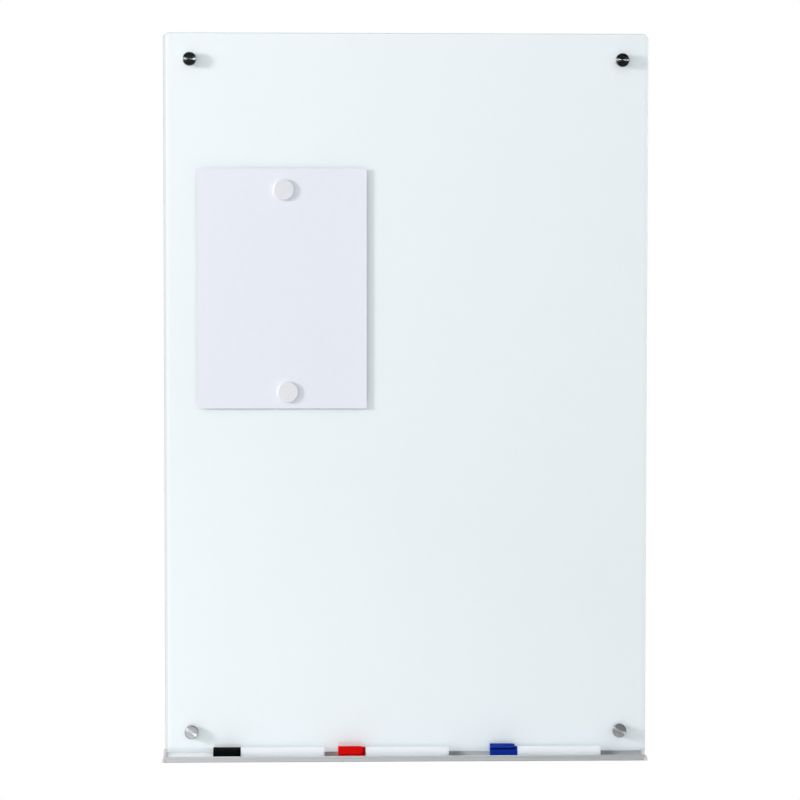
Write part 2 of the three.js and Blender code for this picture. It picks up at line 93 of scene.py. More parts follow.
make_camera()
scene.view_settings.view_transform = "Standard"
print("camera distance:", round(camera_place.length, 3))

# %% [markdown]
# ## Shader maths as Python
#
# A shader is a graph of nodes, and long graphs are hard to read as calls. A small class wraps a
# socket and gives it Python's operators, so a pattern is written as an expression.


# %% A socket that Python's operators work on
class Signal:
    def __init__(self, finish, socket):
        self.finish = finish
        self.socket = socket

    def __add__(self, other):
        return self.finish.math("ADD", self, other)

    def __sub__(self, other):
        return self.finish.math("SUBTRACT", self, other)

    def __rsub__(self, other):
        return self.finish.math("SUBTRACT", other, self)

    def __mul__(self, other):
        return self.finish.math("MULTIPLY", self, other)

    def __truediv__(self, other):
        return self.finish.math("DIVIDE", self, other)

    __radd__ = __add__
    __rmul__ = __mul__


# %% [markdown]
# A finish is one material with its Principled shader. Its `add` method makes any other node, and
# the methods after it are the few patterns that several finishes share.


# %% A finish and its patterns
noise_range = (0.3, 0.7)


class Finish:
    def __init__(self, name, colour, roughness, metallic=0.0):
        self.material = bpy.data.materials.new(name)
        self.material.use_nodes = True
        self.tree = self.material.node_tree
        self.shader = self.tree.nodes["Principled BSDF"]
        self.output = self.tree.nodes["Material Output"]
        self.set("Base Color", colour).set("Roughness", roughness).set("Metallic", metallic)

    def set(self, socket, value):
        self.feed(self.shader.inputs[socket], value)
        return self

    def feed(self, target, value):
        if isinstance(value, Signal):
            self.tree.links.new(value.socket, target)
        elif target.type == "RGBA" and len(value) == 3:
            target.default_value = (*value, 1.0)
        else:
            target.default_value = value

    def add(self, kind, settings=None, inputs=None, result=0):
        node = self.tree.nodes.new(kind)
        for key, value in (settings or {}).items():
            setattr(node, key, value)
        for key, value in (inputs or {}).items():
            self.feed(node.inputs[key], value)
        return Signal(self, node.outputs[result])

    def math(self, operation, *values):
        return self.add("ShaderNodeMath", {"operation": operation}, dict(enumerate(values)))

    def vector(self, operation, *values, result=0):
        settings = {"operation": operation}
        return self.add("ShaderNodeVectorMath", settings, dict(enumerate(values)), result)

    def scaled(self, vector, amount):
        return self.add("ShaderNodeVectorMath", {"operation": "SCALE"}, {0: vector, "Scale": amount})

    def place(self, scale=(1, 1, 1), about=(0, 0, 0)):
        """Object coordinates, counted from a point and stretched."""
        here = self.add("ShaderNodeTexCoord", result="Object")
        moved = self.vector("SUBTRACT", here, about)
        return self.add("ShaderNodeMapping", {"vector_type": "POINT"}, {"Vector": moved, "Scale": scale})

    def noise(self, where, scale, detail=3.0, roughness=0.5):
        inputs = {"Vector": where, "Scale": scale, "Detail": detail, "Roughness": roughness}
        return self.add("ShaderNodeTexNoise", {}, inputs, "Fac")

    def between(self, signal, low, high, first=0.0, last=1.0):
        """Carries a signal from the range low..high to first..last, and holds it there."""
        inputs = {"Value": signal, "From Min": low, "From Max": high, "To Min": first, "To Max": last}
        return self.add("ShaderNodeMapRange", {"clamp": True}, inputs)

    def spread(self, noise, first, last):
        """Carries a noise from the range that most of it lies in to first..last."""
        return self.between(noise, *noise_range, first, last)

    def tint(self, factor, first, second):
        """Between two colours, by a factor from 0 to 1."""
        inputs = {0: factor, 6: first, 7: second}
        return self.add("ShaderNodeMix", {"data_type": "RGBA"}, inputs, 2)

    def bump(self, height, depth, strength=1.0):
        inputs = {"Height": height, "Distance": depth, "Strength": strength}
        return self.set("Normal", self.add("ShaderNodeBump", {}, inputs))

    def let_through(self, *rays):
        """Rays of these kinds pass straight through, so that the lamp reaches what lies behind."""
        for ray in rays:
            surface = Signal(self, self.output.inputs["Surface"].links[0].from_socket)
            passing = self.add("ShaderNodeLightPath", result=ray)
            clear = self.add("ShaderNodeBsdfTransparent")
            mixed = self.add("ShaderNodeMixShader", {}, {0: passing, 1: surface, 2: clear})
            self.feed(self.output.inputs["Surface"], mixed)
        return self


# %% [markdown]
# ## Light
#
# The photograph's shadows all run to the right and a little down, and their edges are soft. So
# two lamps stand at one place, far to the left and a little above the board. The key lamp lights
# dull surfaces only, and gives about a fifth of the board's light. The sheen lamp is wider, and
# only shiny surfaces show it. A pale room gives the rest, most of it from the viewer's side.

# %% Lamps
lamp_place = Vector((-3.5, -1.85, 0.82))
key_colour, sheen_colour = (1.0, 0.9, 0.92), (0.97, 1.0, 1.0)
key_size, key_power = (0.8, 0.8), 79.0
sheen_size, sheen_power = (2.6, 0.9), 210.0


def make_lamp(name, colour, size, power, mirrored):
    """A mirrored lamp is only seen in shiny surfaces, and the other kind only lights dull ones."""
    data = bpy.data.lights.new(name, "AREA")
    data.shape = "ELLIPSE"
    data.size, data.size_y = size
    data.energy = power
    data.color = colour
    lamp = bpy.data.objects.new(name, data)
    lamp.location = lamp_place
    lamp.rotation_euler = (-lamp_place).to_track_quat("-Z", "Y").to_euler()
    lamp.visible_glossy = mirrored
    lamp.visible_diffuse = not mirrored
    scene.collection.objects.link(lamp)


make_lamp("key_lamp", key_colour, key_size, key_power, mirrored=False)
make_lamp("sheen_lamp", sheen_colour, sheen_size, sheen_power, mirrored=True)
print("lamps at", tuple(lamp_place))

# %% [markdown]
# Shiny pieces mirror the room behind the camera. It is nearly black but for a pale strip below
# eye height, where a floor is lit. The turned caps show it: the upper two look black, and the
# lower two grey. So the room has this second face, which only mirrored rays of one or two
# bounces see.

# %% Pale room
room_side, room_front = 0.48, 0.595
strip_rise = (-0.07, -0.22)
strip_reach = (0.7, 0.9)
strip_tilt = 0.5
strip_level = 1.4
dark_level = 0.004
dark_reach = (0.0, 0.15)
first_image_depth = 2.5


class Room(Finish):
    """The world's shader, with the same node methods as a finish."""

    def __init__(self, name):
        world = bpy.data.worlds.new(name)
        world.use_nodes = True
        scene.world = world
        self.tree = world.node_tree
        self.shader = self.tree.nodes["Background"]


def make_room():
    room = Room("pale_room")
    looking = room.add("ShaderNodeTexCoord", result="Generated")
    parts = room.add("ShaderNodeSeparateXYZ", {}, {0: looking}).socket.node
    rightness, farness, height = (Signal(room, output) for output in parts.outputs)
    ahead = room.math("MAXIMUM", farness * -1.0, 0.0)
    soft = ahead * ahead * room_front + room_side
    strip = room.between(height + rightness * strip_tilt, *strip_rise) * room.between(ahead, *strip_reach)
    mirrored = strip * strip_level + dark_level
    bounces = room.add("ShaderNodeLightPath", result="Ray Depth")
    glossy = room.add("ShaderNodeLightPath", result="Is Glossy Ray")
    first = glossy * room.math("LESS_THAN", bounces, first_image_depth)
    level = soft + first * room.between(ahead, *dark_reach) * (mirrored - soft)
    direct = room.add("ShaderNodeLightPath", result="Is Camera Ray")
    through = room.add("ShaderNodeLightPath", result="Is Transmission Ray")
    seen = room.math("MAXIMUM", direct, through)
    room.set("Strength", level + seen * (1.0 - level))
    room.set("Color", (1.0, 1.0, 1.0))


make_room()
print("room level, side and front:", room_side, round(room_side + room_front, 2))

# %% [markdown]
# ## Forms that turn
#
# Caps, barrels, screws, magnets and markers are all turned on a lathe or moulded round. A
# profile of a few points is spun about its axis, and then the rings that the real piece has
# rounded are bevelled. Bevelling after the spin keeps the profile as short as a drawing's.

# %% Spin a profile
outward_seen = Vector((0, -1, 0))
rightward = Vector((1, 0, 0))
turned_sides = 96
weld_distance = 1e-6
sharp_angle = math.radians(32)


def is_on_ring(vertex, centre, axis, radius, along):
    offset = vertex.co - centre
    distance = offset.dot(axis)
    across = (offset - axis * distance).length
    return abs(distance - along * mm) < weld_distance and abs(across - radius * mm) < weld_distance


def spin_profile(profile, centre, axis, sides=turned_sides):
    """Spins points of (radius, distance along the axis, rounding), in millimetres."""
    form = bmesh.new()
    side = Vector((0, 0, 1))
    points = [form.verts.new(centre + (side * radius + axis * along) * mm) for radius, along, _ in profile]
    lines = [form.edges.new(pair) for pair in zip(points, points[1:])]
    bmesh.ops.spin(
        form, geom=points + lines, cent=centre, axis=axis, angle=math.tau, steps=sides, use_merge=True)
    bmesh.ops.remove_doubles(form, verts=form.verts[:], dist=weld_distance)
    for radius, along, rounding in profile:
        if rounding:
            ring = [
                edge for edge in form.edges
                if all(is_on_ring(vertex, centre, axis, radius, along) for vertex in edge.verts)]
            round_off(form, ring, rounding)
    return form


def round_off(form, geometry, radius, affect="EDGES", segments=4):
    bmesh.ops.bevel(
        form, geom=geometry, offset=radius * mm, segments=segments, profile=0.5,
        affect=affect, material=-1, clamp_overlap=True)


# %% [markdown]
# A screw thread is one small triangle, spun about the axis while it climbs by the pitch. The
# spin closes it at both ends, and its foot is sunk in the core, so it reads as one piece.

# %% Cut a thread
thread_sides = 24
thread_fill = 0.98


def add_thread(form, centre, axis, core, crest, start, end, pitch):
    side = Vector((0, 0, 1))
    sunk = core - pitch / 4
    corners = [(sunk, start), (crest, start + pitch / 2), (sunk, start + pitch * thread_fill)]
    points = [form.verts.new(centre + (side * radius + axis * along) * mm) for radius, along in corners]
    face = form.faces.new(points)
    turns = (end - start - pitch) / pitch
    steps = round(thread_sides * turns)
    climb = axis * (turns * pitch / steps) * mm
    bmesh.ops.spin(
        form, geom=points + face.edges[:] + [face], cent=centre, axis=axis, dvec=climb,
        angle=math.tau * turns, steps=steps, use_merge=False)


# %% [markdown]
# Each finished form is treated the same way. Doubles are merged, the faces are turned outward,
# and edges sharper than a rounded one's facets stay crisp. The new piece then rides on the body
# of the solid that it stands for, and takes that solid's place and finish.


# %% Put a finished form in a solid's place
def shade_by_angle(form):
    for face in form.faces:
        face.smooth = True
    for edge in form.edges:
        edge.smooth = len(edge.link_faces) == 2 and edge.calc_face_angle(0.0) < sharp_angle


def take_place(form, node, finish):
    bmesh.ops.remove_doubles(form, verts=form.verts[:], dist=weld_distance)
    bmesh.ops.recalc_face_normals(form, faces=form.faces[:])
    shade_by_angle(form)
    mesh = bpy.data.meshes.new(node + "_finished")
    form.to_mesh(mesh)
    form.free()
    mesh.materials.append(finish.material)
    piece = bpy.data.objects.new(node + "_finished", mesh)
    scene.collection.objects.link(piece)
    piece.modifiers.new("flat faces stay flat", "WEIGHTED_NORMAL").keep_sharp = True
    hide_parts(node)
    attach(piece, body_of[node])
    return piece


# %% [markdown]
# ## Turned steel
#
# A lathe leaves fine rings on a cap's face: flat lands, with grooves between them whose walls
# lean steeply toward and away from the middle. The walls show the lamp as a thin bright line
# across the whole face, and the lands mirror the room. A bump would be lost, because the rings
# are far finer than a pixel. So the normal itself is leaned across the rings, ring by ring. The
# The rounded rim of the face is broken by hand, so it is duller, and its colour is painted darker:
# painted shade that dims the lamp's glint on it.

# %% Turned steel
land_colour, wall_colour = (0.60, 0.61, 0.62), (0.30, 0.32, 0.33)
ring_pitch = 0.05 * mm
land_share = 0.66
wall_lean = (0.45, 0.85)
# The rim's colour is painted shade, which dims the lamp's glint on it.
rim_shade_colour = (0.2, 0.21, 0.22)
rim_radius, rim_place = (7.75 * mm, 7.9 * mm), -31.3 * mm
wall_dulling, rim_dulling = 0.1, 0.25


def turned_steel(name, centre):
    steel = Finish(name, land_colour, 0.14, metallic=1.0)
    here = steel.place(about=centre)
    across = steel.vector("MULTIPLY", here, (1, 0, 1))
    radius = steel.vector("LENGTH", across, result="Value")
    outward = steel.vector("NORMALIZE", across)
    along_ring = steel.vector("CROSS_PRODUCT", outward, (0, 1, 0))
    facing = steel.add("ShaderNodeNewGeometry", result="Normal")
    over_rings = steel.vector("CROSS_PRODUCT", facing, along_ring)
    depth = steel.vector("DOT_PRODUCT", here, (0, 1, 0), result="Value")
    swing = (steel.math("FRACT", (radius + depth) / ring_pitch) - 0.5) * 2.0
    size = steel.math("ABSOLUTE", swing)
    wall = steel.math("GREATER_THAN", size, land_share) * steel.math("SIGN", swing)
    lean = wall * steel.between(size, land_share, 1.0, *wall_lean)
    leaned = steel.vector("ADD", facing, steel.scaled(over_rings, lean))
    steel.set("Normal", steel.vector("NORMALIZE", leaned))
    on_wall = steel.math("ABSOLUTE", wall)
    rim = steel.between(radius, *rim_radius) * steel.math("LESS_THAN", depth, rim_place)
    ringed = steel.tint(on_wall, land_colour, wall_colour)
    # The rim is painted darker: painted shade that dims the lamp's glint there.
    steel.set("Base Color", steel.tint(rim, ringed, rim_shade_colour))
    cloudy = steel.spread(steel.noise(here, 300.0), 0.11, 0.17)
    steel.set("Roughness", cloudy + on_wall * wall_dulling + rim * rim_dulling)
    return steel


# %% [markdown]
# ## Stand-offs
#
# Four fixings hold the glass. A barrel stands on the wall round its screw. A cap's threaded stud
# goes through the glass and into the barrel, and clamps the glass between two clear washers. A
# bush keeps the steel off the edge of the hole.

# %% Sizes of a stand-off
cap_radius, cap_front, cap_back = 8.5, 32.1, 25.1
cap_rounding = 0.7
stud_radius, stud_end = 4.0, 9.7
stud_core, stud_chamfer = 3.55, 0.5
stud_shoulder, stud_relief = 1.2, 1.65
thread_pitch = 1.25
thread_under_cap, thread_past_end = 1.6, 0.4
barrel_front = 18.65
barrel_bore, screw_bore, barrel_wall = 4.3, 2.4, 3.0
barrel_rounding = 0.5
washer_radius, washer_rounding = 8.0, 0.15
rear_washer = (18.7, 19.7)
front_washer = (24.05, 25.05)
bush_radius, bush_span, bush_rounding = 5.4, (20.05, 23.95), 0.1
screw_head, screw_shank, screw_core = 3.8, 2.1, 1.5
screw_seat, screw_top, screw_rim, screw_tip = 3.05, 5.65, 3.92, -28.95
screw_point = 5.0
screw_pitch = 1.6
recess_radius, recess_depth = 1.9, 1.5


# %% Turn the pieces of one stand-off
def turn_cap(centre):
    profile = [
        (0, cap_front, 0),
        (cap_radius, cap_front, cap_rounding),
        (cap_radius, cap_back, 0.25),
        (stud_radius, cap_back, 0),
        (stud_radius, cap_back - stud_shoulder, 0.2),
        (stud_core, cap_back - stud_relief, 0),
        (stud_core, stud_end + stud_chamfer, 0),
        (stud_core - stud_chamfer, stud_end, 0),
        (0, stud_end, 0),
    ]
    form = spin_profile(profile, centre, outward_seen)
    first, last = stud_end + thread_past_end, cap_back - thread_under_cap
    add_thread(form, centre, outward_seen, stud_core, stud_radius, first, last, thread_pitch)
    return form


def turn_barrel(centre):
    profile = [
        (screw_bore, 0, 0),
        (cap_radius, 0, barrel_rounding),
        (cap_radius, barrel_front, barrel_rounding),
        (barrel_bore, barrel_front, 0.3),
        (barrel_bore, barrel_wall, 0),
        (screw_bore, barrel_wall, 0.2),
        (screw_bore, 0, 0),
    ]
    return spin_profile(profile, centre, outward_seen)


def turn_ring(centre, inner, outer, span, rounding):
    low, high = span
    corners = [(inner, low), (outer, low), (outer, high), (inner, high)]
    profile = [(radius, along, rounding) for radius, along in corners]
    return spin_profile(profile + [(inner, low, 0)], centre, outward_seen)


def turn_screw(centre):
    profile = [
        (0, screw_top - recess_depth, 0),
        (recess_radius * 0.6, screw_top - recess_depth, 0),
        (recess_radius, screw_top, 0.1),
        (screw_head * 0.75, screw_top, 0.5),
        (screw_head, screw_rim, 0.2),
        (screw_head, screw_seat, 0),
        (screw_core, screw_seat, 0),
        (screw_core, screw_tip + screw_point, 0),
        (0, screw_tip, 0),
    ]
    form = spin_profile(profile, centre, outward_seen, sides=48)
    end = screw_seat - 0.3
    start = screw_tip + screw_point * 0.5
    add_thread(form, centre, outward_seen, screw_core, screw_shank, start, end, screw_pitch)
    return form


# %% [markdown]
# The clear washers and bushes are moulded nylon, slightly hazy. The wall screws are plated, and
# their plating shows warm and cool patches.


# %% Clear nylon and plated screws
def clear_nylon():
    nylon = Finish("clear_nylon", (0.86, 0.90, 0.91), 0.3)
    nylon.set("Transmission Weight", 0.7).set("IOR", 1.5)
    grain = nylon.noise(nylon.place(), 900.0)
    nylon.set("Roughness", nylon.spread(grain, 0.22, 0.4))
    return nylon.bump(grain, 0.02 * mm)


def plated_steel():
    plated = Finish("plated_steel", (0.7, 0.68, 0.6), 0.3, metallic=1.0)
    patch = plated.noise(plated.place(), 160.0)
    plated.set("Base Color", plated.tint(patch, (0.76, 0.69, 0.52), (0.66, 0.70, 0.74)))
    return plated.bump(plated.noise(plated.place(), 2500.0), 0.01 * mm)


nylon_finish = clear_nylon()
screw_finish = plated_steel()
print("finishes:", nylon_finish.material.name, "and", screw_finish.material.name)


# %% Make the four stand-offs
def make_standoff(corner):
    low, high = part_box("standoff_cap_" + corner)
    centre = Vector(((low[0] + high[0]) / 2, 0, (low[2] + high[2]) / 2))
    steel = turned_steel("turned_steel_" + corner, centre)
    take_place(turn_cap(centre), "standoff_cap_" + corner, steel)
    take_place(turn_barrel(centre), "standoff_barrel_" + corner, steel)
    for place, span in (("rear_washer_", rear_washer), ("front_washer_", front_washer)):
        washer = turn_ring(centre, barrel_bore, washer_radius, span, washer_rounding)
        take_place(washer, place + corner, nylon_finish)
    bush = turn_ring(centre, barrel_bore, bush_radius, bush_span, bush_rounding)
    take_place(bush, "glass_bush_" + corner, nylon_finish)
    take_place(turn_screw(centre), "wall_screw_" + corner, screw_finish)
    print(corner, "stand-off at", tuple(round(value, 4) for value in centre))


for corner in ("upper_left", "upper_right", "lower_left", "lower_right"):
    make_standoff(corner)

# %% [markdown]
# ## Pen tray
#
# The tray is an aluminium extrusion, so it is drawn as one section and pulled along. The section
# is a face whose corners are bevelled one radius at a time: the die rounds the coves of the
# trough, the lip's bead and the mouth of the channel.

# %% The tray's section
tray_corners = [
    (17.65, -452.1, 1.2),
    (17.65, -442.9, 0.5),
    (19.15, -442.9, 0.5),
    (19.15, -450.6, 0.2),
    (24.6, -450.6, 0.2),
    (24.6, -442.9, 0.5),
    (26.1, -442.9, 0.5),
    (26.1, -448.9, 1.2),
    (53.7, -448.9, 1.2),
    (53.7, -446.0, 0.2),
    (52.95, -446.0, 0.5),
    (52.95, -443.0, 1.4),
    (55.95, -443.0, 1.4),
    (55.95, -446.0, 0.5),
    (55.2, -446.0, 0.2),
    (55.2, -450.4, 1.2),
    (26.1, -450.4, 0.2),
    (26.1, -452.1, 1.2),
]


def extrude_section(corners, left, right):
    """Pulls a section of (distance from the wall, height, rounding) along X."""
    form = bmesh.new()
    points = [form.verts.new((left, -across * mm, up * mm)) for across, up, _ in corners]
    form.faces.new(points)
    roundings = dict(zip(points, [rounding for _, _, rounding in corners]))
    for size in sorted(set(roundings.values())):
        chosen = [point for point in points if roundings[point] == size]
        round_off(form, chosen, size, affect="VERTICES", segments=5)
    pulled = bmesh.ops.extrude_face_region(form, geom=form.faces[:])["geom"]
    moved = [item for item in pulled if isinstance(item, bmesh.types.BMVert)]
    bmesh.ops.translate(form, verts=moved, vec=(right - left, 0, 0))
    return form


# %% [markdown]
# Satin anodising scatters light softly, and the die leaves faint lines along the whole length.
# The lines are a noise stretched a thousand times along X, seen in roughness and in a bump. The
# trough's inside is painted darker than the lip, from about the first marker to the right end, and a
# cloud varies it: painted shade for the markers' shadows in the trough.


# %% Satin anodised aluminium
trough_inside = (-0.0531, -0.0525)
# Where the trough's painted shade begins, about at the first marker.
shade_start_x = (-0.245, -0.225)


def satin_anodised():
    satin = Finish("satin_anodised", (0.86, 0.87, 0.89), 0.65, metallic=1.0)
    lines = satin.noise(satin.place(scale=(3, 3000, 3000)), 1.0, detail=4.0)
    cloud = satin.noise(satin.place(), 40.0)
    parts = satin.add("ShaderNodeSeparateXYZ", {}, {0: satin.place()}).socket.node
    inside = satin.between(Signal(satin, parts.outputs["Y"]), *trough_inside)
    past_lit_end = satin.between(Signal(satin, parts.outputs["X"]), *shade_start_x)
    # Painted shade: the trough's inside darkens past its left end, varied by a cloud.
    painted_trough_shade = inside * past_lit_end * satin.between(cloud, 0.2, 0.8, 0.75, 1.0)
    satin.set("Roughness", satin.spread(lines, 0.57, 0.67))
    satin.set("Base Color", satin.tint(painted_trough_shade, (0.87, 0.885, 0.90), (0.62, 0.64, 0.65)))
    return satin.bump(lines, 0.004 * mm)


def make_tray():
    low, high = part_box("pen_tray")
    form = extrude_section(tray_corners, low[0], high[0])
    take_place(form, "pen_tray", satin_anodised())
    print("tray length:", round(high[0] - low[0], 4))


make_tray()

# %% [markdown]
# The liner is a soft strip, with its own U-shaped section, that the glass presses into. The end
# caps are moulded. Their solids already have the right form, so a merged copy of each is freed
# of needless edges and gets the small rounding that any mould leaves.

# %% Liner and end caps
liner_corners = [
    (19.2, -450.55, 0.15),
    (24.55, -450.55, 0.15),
    (24.55, -443.4, 0.2),
    (24.05, -443.4, 0.2),
    (24.05, -450.05, 0.1),
    (19.7, -450.05, 0.1),
    (19.7, -443.4, 0.2),
    (19.2, -443.4, 0.2),
]
mould_rounding = 0.3
flat_angle = math.radians(1.0)


def moulded_grey():
    plastic = Finish("moulded_grey", (0.66, 0.69, 0.71), 0.5)
    grain = plastic.noise(plastic.place(), 1500.0, detail=2.0)
    cloud = plastic.noise(plastic.place(), 60.0)
    plastic.set("Base Color", plastic.tint(cloud, (0.64, 0.67, 0.69), (0.68, 0.71, 0.725)))
    plastic.set("Roughness", plastic.spread(grain, 0.42, 0.58))
    return plastic.bump(grain, 0.02 * mm)


def soften_copy(node, rounding):
    form = bmesh.new()
    form.from_mesh(nodes[node].data)
    form.transform(nodes[node].matrix_world)
    bmesh.ops.remove_doubles(form, verts=form.verts[:], dist=weld_distance)
    bmesh.ops.dissolve_limit(
        form, angle_limit=flat_angle, verts=form.verts[:], edges=form.edges[:])
    crisp = [edge for edge in form.edges if edge.calc_face_angle(0.0) > sharp_angle]
    round_off(form, crisp, rounding, segments=2)
    return form


def make_tray_fittings():
    grey = moulded_grey()
    low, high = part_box("tray_liner")
    take_place(extrude_section(liner_corners, low[0], high[0]), "tray_liner", grey)
    for side in ("left", "right"):
        take_place(soften_copy("tray_end_cap_" + side, mould_rounding), "tray_end_cap_" + side, grey)


make_tray_fittings()

# %% [markdown]
# ## Markers
#
# A marker is a white barrel with a neck, a felt nib, a reservoir inside and a plug at its end.
# Its cap has a broad clip, one moulding with the cap. Barrel, cap and plug are spun. The clip is
# an L drawn from the side, pulled to its width, with the tip's corners rounded seen from above.

# %% Sizes of a marker
cap_length, marker_length = 34.0, 138.0
marker_cap_radius, marker_radius = 6.8, 6.5
cap_bore, cap_end = 5.7, 1.6
barrel_start = 34.3
neck_start, neck_nose, neck_radius, nose_radius = 13.0, 19.0, 5.4, 3.6
nib_bore, nib_radius, nib_start, nib_end = 2.6, 2.3, 7.0, 37.35
inner_radius, inner_start = 5.3, 37.3
barrel_end, plug_face = 136.15, 136.2
fill_radius, stub_start = 5.0, 127.2
clip_length, clip_half, clip_root = 31.0, 5.15, 4.0
clip_under, clip_top, clip_foot = 7.5, 8.7, 1.0
clip_tip_depth, clip_tip_rounding, clip_rounding = 0.1, 3.4, 0.35


# %% Spin and pull the pieces of a marker
def make_clip(form, start, roll):
    """Adds the clip, drawn upright at the origin and then rolled about the marker's axis."""
    outline = [
        (0.0, marker_cap_radius - clip_foot),
        (clip_root, marker_cap_radius - clip_foot),
        (clip_root, clip_under),
        (clip_length, clip_under),
        (clip_length, clip_top),
        (0.0, clip_top),
    ]
    clip = bmesh.new()
    face = clip.faces.new([clip.verts.new((x * mm, -clip_half * mm, up * mm)) for x, up in outline])
    pulled = bmesh.ops.extrude_face_region(clip, geom=[face])["geom"]
    moved = [item for item in pulled if isinstance(item, bmesh.types.BMVert)]
    bmesh.ops.translate(clip, verts=moved, vec=(0, clip_half * 2 * mm, 0))
    tip = [
        edge for edge in clip.edges
        if all(vertex.co.x > (clip_length - clip_tip_depth) * mm for vertex in edge.verts)
        and abs(edge.verts[0].co.y - edge.verts[1].co.y) < weld_distance]
    round_off(clip, tip, clip_tip_rounding, segments=8)
    crisp = [edge for edge in clip.edges if edge.calc_face_angle(0.0) > sharp_angle]
    round_off(clip, crisp, clip_rounding, segments=3)
    turn = Matrix.Rotation(roll, 4, "X")
    bmesh.ops.transform(clip, matrix=Matrix.Translation(start) @ turn, verts=clip.verts[:])
    bmesh.ops.recalc_face_normals(clip, faces=clip.faces[:])
    shared = bpy.data.meshes.new("clip")
    clip.to_mesh(shared)
    clip.free()
    form.from_mesh(shared)
    bpy.data.meshes.remove(shared)


def spin_marker_cap(start, roll):
    profile = [
        (0, 0, 0),
        (marker_cap_radius, 0, 0.9),
        (marker_cap_radius, cap_length, 0.25),
        (cap_bore, cap_length, 0.2),
        (cap_bore, cap_end, 0.3),
        (0, cap_end, 0),
    ]
    form = spin_profile(profile, start, rightward)
    make_clip(form, start, roll)
    return form


def spin_barrel(start):
    profile = [
        (nib_bore, neck_start, 0),
        (nose_radius, neck_start, 0.4),
        (neck_radius, neck_nose, 0.5),
        (neck_radius, barrel_start, 0),
        (marker_radius, barrel_start, 0.5),
        (marker_radius, barrel_end, 0.1),
        (inner_radius, barrel_end, 0),
        (inner_radius, inner_start, 0),
        (nib_bore, inner_start, 0),
        (nib_bore, neck_start, 0),
    ]
    return spin_profile(profile, start, rightward)


def spin_nib(start):
    profile = [
        (0, nib_start, 0),
        (nib_radius * 0.5, nib_start + 0.2, 0.3),
        (nib_radius, nib_start + 2.4, 0.5),
        (nib_radius, nib_end, 0.1),
        (0, nib_end, 0),
    ]
    return spin_profile(profile, start, rightward, sides=48)


def spin_reservoir(start):
    profile = [
        (0, nib_end + 0.05, 0),
        (fill_radius, nib_end + 0.05, 0.4),
        (fill_radius, stub_start - 0.05, 0.4),
        (0, stub_start - 0.05, 0),
    ]
    return spin_profile(profile, start, rightward, sides=48)


def spin_plug(start):
    profile = [
        (0, stub_start, 0),
        (fill_radius, stub_start, 0.3),
        (fill_radius, plug_face, 0),
        (marker_radius, plug_face, 0.1),
        (marker_radius, marker_length, 0.35),
        (0, marker_length, 0),
    ]
    return spin_profile(profile, start, rightward)


# %% [markdown]
# The caps are moulded in the ink's colour and shine softly. The barrels are white, the nibs and
# reservoirs felt, whose fibres run along the marker. Little light gets into the slit between a
# cap and its clip, so the colour is deepened there, as far as the clip reaches. On the red cap
# it is deepened up to the open end, which the clip's tip shades.


# %% Marker plastics and felt
slit_start, slit_full, slit_top = 4.9 * mm, 5.6 * mm, 7.0 * mm


def moulded_plastic(name, colour, shade, specular):
    plastic = Finish(name, colour, 0.35)
    plastic.set("Specular IOR Level", specular)
    cloud = plastic.noise(plastic.place(scale=(30, 90, 90)), 1.0)
    grain = plastic.noise(plastic.place(), 1800.0, detail=2.0)
    plastic.set("Base Color", plastic.tint(cloud, colour, shade))
    plastic.set("Roughness", plastic.spread(cloud, 0.28, 0.42))
    return plastic.bump(grain, 0.008 * mm)


def darken_slit(plastic, start, roll, reach, deep):
    """Deepens the colour between cap and clip, for reach millimetres from the cap's closed end."""
    toward_clip = (0, -math.sin(roll), math.cos(roll))
    here = plastic.place(about=start)
    height = plastic.vector("DOT_PRODUCT", here, toward_clip, result="Value")
    along = plastic.vector("DOT_PRODUCT", here, (1, 0, 0), result="Value")
    slit = plastic.between(height, slit_start, slit_full) * plastic.math("LESS_THAN", height, slit_top)
    under_clip = plastic.math("LESS_THAN", along, reach * mm)
    moulded = Signal(plastic, plastic.shader.inputs["Base Color"].links[0].from_socket)
    plastic.set("Base Color", plastic.tint(slit * under_clip, moulded, deep))


def ink_felt():
    felt = Finish("ink_felt", (0.8, 0.79, 0.75), 0.9)
    fibres = felt.noise(felt.place(scale=(250, 2500, 2500)), 1.0, detail=4.0)
    felt.set("Base Color", felt.tint(fibres, (0.70, 0.69, 0.64), (0.86, 0.85, 0.81)))
    return felt.bump(fibres, 0.08 * mm)


marker_colours = {
    "black": ((0.0025, 0.0035, 0.0035), (0.004, 0.005, 0.005)),
    "red": ((0.68, 0.003, 0.002), (0.64, 0.002, 0.0015)),
    "blue": ((0.003, 0.03, 0.33), (0.003, 0.026, 0.30)),
}
slit_colours = {"black": (0.002, 0.002, 0.002), "red": (0.33, 0.002, 0.001), "blue": (0.001, 0.006, 0.06)}
past_cap = 1.0
slit_reaches = {"black": clip_length, "red": cap_length + past_cap, "blue": clip_length}
cap_rolls = {"black": math.radians(90), "red": math.radians(62), "blue": math.radians(19)}
white_plastic = moulded_plastic("moulded_white", (0.88, 0.93, 0.97), (0.855, 0.915, 0.96), 0.4)
felt_finish = ink_felt()
print("finishes:", white_plastic.material.name, "and", felt_finish.material.name)


